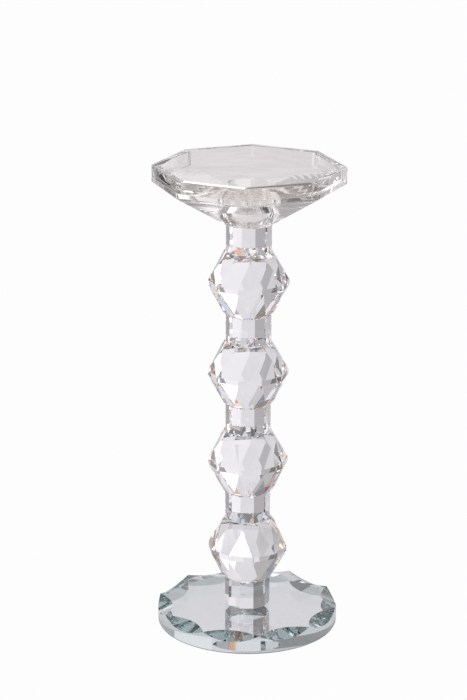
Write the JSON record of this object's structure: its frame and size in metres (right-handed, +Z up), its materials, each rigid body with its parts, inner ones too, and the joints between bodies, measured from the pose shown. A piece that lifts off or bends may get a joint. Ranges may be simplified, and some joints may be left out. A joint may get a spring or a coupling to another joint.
{
  "type": "candlestick",
  "caption": "Cut-glass candlestick: an octagonal tray with a candle socket, on a stem of faceted crystal beads over a round mirrored base with a scooped rim",
  "frame": {"origin": "On the table, under the middle of the base, on the axis of the stem", "axes": "+Z is up along the stem. The bowl has a corner toward -Y, the front, and another toward +X"},
  "size_m": [0.1206, 0.1206, 0.3021],
  "materials": {
    "bowl_glass": "fire-polished clear pressed glass",
    "crystal": "cut and polished clear crystal glass",
    "base_glass": "polished clear plate glass with a faint green-blue edge",
    "silvering": "silver mirror coat seen through the glass",
    "backing_paint": "matt grey protective paint over the silvering",
    "clear_adhesive": "clear cured UV adhesive",
    "bumper_rubber": "soft clear bumper"
  },
  "bodies": {
    "root": {"octagonal_bowl": "bowl_glass", "collar_prism": "crystal", "crystal_bead_top": "crystal", "crystal_bead_upper": "crystal", "crystal_bead_lower": "crystal", "crystal_bead_bottom": "crystal", "base_plate": "base_glass", "mirror_silvering": "silvering", "protective_backing": "backing_paint", "bond_base": "clear_adhesive", "bond_bottom_to_lower": "clear_adhesive", "bond_lower_to_upper": "clear_adhesive", "bond_upper_to_top": "clear_adhesive", "bond_top_to_collar": "clear_adhesive", "bond_collar_to_bowl": "clear_adhesive", "bumper_1": "bumper_rubber", "bumper_2": "bumper_rubber", "bumper_3": "bumper_rubber", "bumper_4": "bumper_rubber"}
  },
  "joints": []
}
